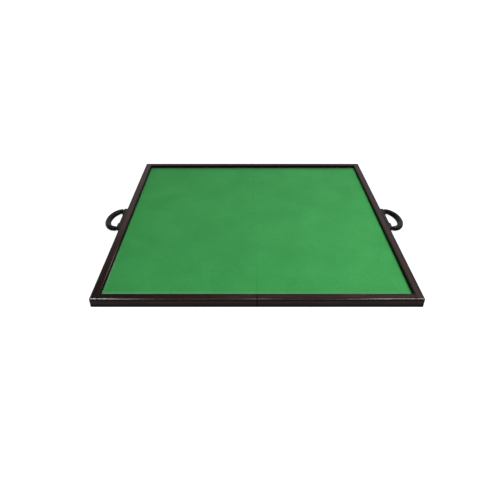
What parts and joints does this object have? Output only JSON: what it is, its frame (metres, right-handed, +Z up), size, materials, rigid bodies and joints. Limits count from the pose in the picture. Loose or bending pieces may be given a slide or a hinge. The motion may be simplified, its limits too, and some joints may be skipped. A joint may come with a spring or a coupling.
{
  "type": "folding mahjong table top",
  "caption": "Legless folding game-table top: green felt trays in dark wooden rails, hinged at a front-to-back seam, with a swinging carry handle at each side.",
  "frame": {"origin": "on the table the top lies on, under the middle of the seam", "axes": "+X right, across the seam, towards the right handle; +Y to the back, along the seam; +Z up"},
  "size_m": [0.916, 0.8, 0.0277],
  "materials": {
    "rail_wood": "dark brown semi-gloss lacquer",
    "panel_plywood": "bare plywood",
    "dowel_wood": "bare beech",
    "green_felt": "short-napped green felt",
    "base_plastic": "brown moulded plastic",
    "grip_plastic": "black soft-sheen moulding",
    "hinge_metal": "dark bronzed steel",
    "screw_steel": "zinc plated",
    "pad_rubber": "black anti-slip foam rubber"
  },
  "bodies": {
    "left_half": {"left_panel": "panel_plywood", "left_felt": "green_felt", "left_side_rail": "rail_wood", "left_front_rail": "rail_wood", "left_back_rail": "rail_wood", "left_corner_dowels": "dowel_wood", "left_seam_batten": "rail_wood", "left_batten_screws": "screw_steel", "left_foot_pads": "pad_rubber", "left_hinge_screws": "hinge_metal", "left_handle_base": "base_plastic", "left_handle_screws": "screw_steel", "left_handle_pins": "screw_steel", "front_hinge_left_leaf": "hinge_metal", "back_hinge_left_leaf": "hinge_metal", "front_hinge_pin": "hinge_metal", "back_hinge_pin": "hinge_metal"},
    "right_half": {"right_panel": "panel_plywood", "right_felt": "green_felt", "right_side_rail": "rail_wood", "right_front_rail": "rail_wood", "right_back_rail": "rail_wood", "right_corner_dowels": "dowel_wood", "right_seam_batten": "rail_wood", "right_batten_screws": "screw_steel", "right_foot_pads": "pad_rubber", "right_hinge_screws": "hinge_metal", "right_handle_base": "base_plastic", "right_handle_screws": "screw_steel", "right_handle_pins": "screw_steel", "front_hinge_right_leaf": "hinge_metal", "back_hinge_right_leaf": "hinge_metal"},
    "left_handle": {"left_handle_grip": "grip_plastic"},
    "right_handle": {"right_handle_grip": "grip_plastic"}
  },
  "joints": [
    {"name": "fold", "type": "hinge", "parent": "left_half", "child": "right_half", "pos_m": [0, 0, 0.02615], "axis": [0, -1, 0], "range_deg": [0, 180]},
    {"name": "left_handle_swing", "type": "hinge", "parent": "left_half", "child": "left_handle", "pos_m": [-0.4084, 0, 0.013], "axis": [0, 1, 0], "range_deg": [-84, 10]},
    {"name": "right_handle_swing", "type": "hinge", "parent": "right_half", "child": "right_handle", "pos_m": [0.4084, 0, 0.013], "axis": [0, -1, 0], "range_deg": [-84, 10]}
  ]
}
